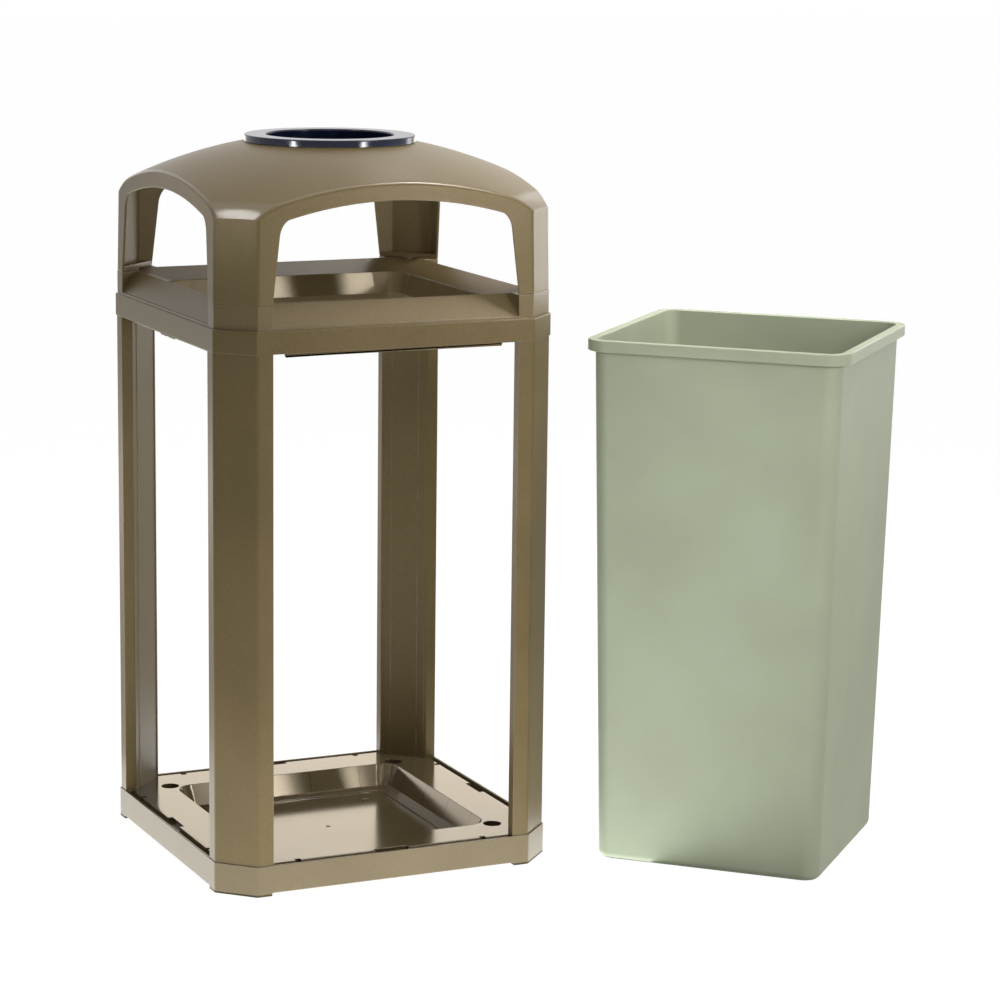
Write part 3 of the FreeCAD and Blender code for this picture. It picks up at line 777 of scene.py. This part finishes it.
def studio_floor(size, grey, glow_strength, glow_share):
    """Pale floor that looks white but keeps the object's shadow."""
    bpy.ops.mesh.primitive_plane_add(size=size, location=(0, 0, 0))
    floor = added("studio_floor")
    white = bpy.data.materials.new("studio_floor_white")
    white.use_nodes = True
    tree = white.node_tree
    shader = tree.nodes["Principled BSDF"]
    shader.inputs["Base Color"].default_value = (grey, grey, grey, 1)
    shader.inputs["Roughness"].default_value = 0.9
    glow = tree.nodes.new("ShaderNodeEmission")
    glow.inputs["Strength"].default_value = glow_strength
    mix = tree.nodes.new("ShaderNodeMixShader")
    amount = tree.nodes.new("ShaderNodeMath")
    amount.operation = "MULTIPLY"
    amount.inputs[1].default_value = glow_share
    tree.links.new(seen_directly(tree), amount.inputs[0])
    tree.links.new(amount.outputs[0], mix.inputs[0])
    tree.links.new(shader.outputs[0], mix.inputs[1])
    tree.links.new(glow.outputs[0], mix.inputs[2])
    tree.links.new(mix.outputs[0], tree.nodes["Material Output"].inputs["Surface"])
    floor.data.materials.append(white)


def studio_world(strength):
    """World that gives plain light at a given strength and looks white."""
    world = bpy.data.worlds.new("studio")
    world.use_nodes = True
    bpy.context.scene.world = world
    tree = world.node_tree
    background = tree.nodes["Background"]
    background.inputs["Color"].default_value = WHITE
    amount = tree.nodes.new("ShaderNodeMapRange")
    amount.inputs["To Min"].default_value = strength
    amount.inputs["To Max"].default_value = 1.0
    tree.links.new(seen_directly(tree), amount.inputs["Value"])
    tree.links.new(amount.outputs[0], background.inputs["Strength"])


def soft_light(name, place, target, width, height, power, colour=(1, 1, 1), spread=180):
    """Area light that lights the object but isn't seen itself; its spread is in degrees."""
    bpy.ops.object.light_add(type="AREA", location=place)
    lamp = bpy.context.object
    lamp.name = name
    lamp.data.shape = "RECTANGLE"
    lamp.data.size = width
    lamp.data.size_y = height
    lamp.data.energy = power
    lamp.data.color = colour
    lamp.data.spread = math.radians(spread)
    lamp.rotation_euler = (Vector(target) - Vector(place)).to_track_quat("-Z", "Y").to_euler()
    lamp.visible_camera = False


studio_floor(size=60, grey=0.6, glow_strength=1.28, glow_share=0.75)
studio_world(0.10)
soft_light("overhead_light", (0.3, 0.1, 3.5), (0, 0, 1), 2.0, 1.0, 7, (1, 0.95, 0.87))
soft_light("shoulder_light", (-1.25, 0.1, 3.2), (-0.26, -0.26, 1.07), 0.6, 0.4, 8.5)
soft_light("crease_light", (1.3, -0.75, 3.4), (0.1, -0.29, 1.09), 0.3, 1.1, 23, (1, 0.96, 0.9))
soft_light("funnel_light", (1.25, 1.7, 3.2), (0.1, 0.24, 0.94), 0.4, 0.4, 0.22, spread=40)
soft_light("high_back_light", (2.2, 2.2, 2.5), (0.2, 0, 1.0), 1.4, 1.0, 2)
soft_light("back_light", (1.0, 2.6, 0.83), (0, 0, 0.05), 3.0, 0.6, 9.5, (1, 0.84, 0.6))
soft_light("low_back_light", (-1.05, 2.2, 0.18), (0.2, 0, 0.05), 0.8, 0.3, 2, (1, 0.9, 0.75))
soft_light("front_window", (1.2, -2.6, 1.35), (0, 0, 0.6), 0.35, 1.0, 22)
soft_light("bowl_left_light", (-2.4, -0.87, 0.98), (-0.1, -0.1, 1.25), 0.5, 0.3, 0.16, spread=8)
soft_light("bowl_front_light", (1.08, -2.6, 0.97), (0.03, -0.13, 1.28), 0.35, 0.3, 0.08, spread=8)
soft_light("liner_front_light", (-0.6, -2.6, 1.6), (0.5, -0.45, 0.75), 0.8, 0.8, 0.9, spread=30)
soft_light("right_light", (3.2, 1.1, 0.95), (0.25, -0.25, 0.9), 0.9, 1.2, 12)
soft_light("liner_light", (0.95, -0.35, 2.6), (0.62, -0.1, 0.85), 0.5, 0.5, 2.5, spread=50)
soft_light("floor_glow", (-0.3, -0.2, 0.003), (-0.3, -0.2, 1), 1.45, 1.5, 13.5, (0.93, 0.97, 1))

# The camera that was fitted to the photograph
camera_data = bpy.data.cameras.new("camera")
camera_data.lens = 116.85
camera = bpy.data.objects.new("camera", camera_data)
bpy.context.scene.collection.objects.link(camera)
camera.matrix_world = (Matrix.Translation((-1.98555, -4.91853, 1.59324))
                       @ Matrix.Rotation(math.radians(-25.054), 4, "Z")
                       @ Matrix.Rotation(math.radians(90 - 10.851), 4, "X")
                       @ Matrix.Rotation(math.radians(0.718), 4, "Z"))
bpy.context.scene.camera = camera
bpy.context.scene.view_settings.view_transform = "Standard"
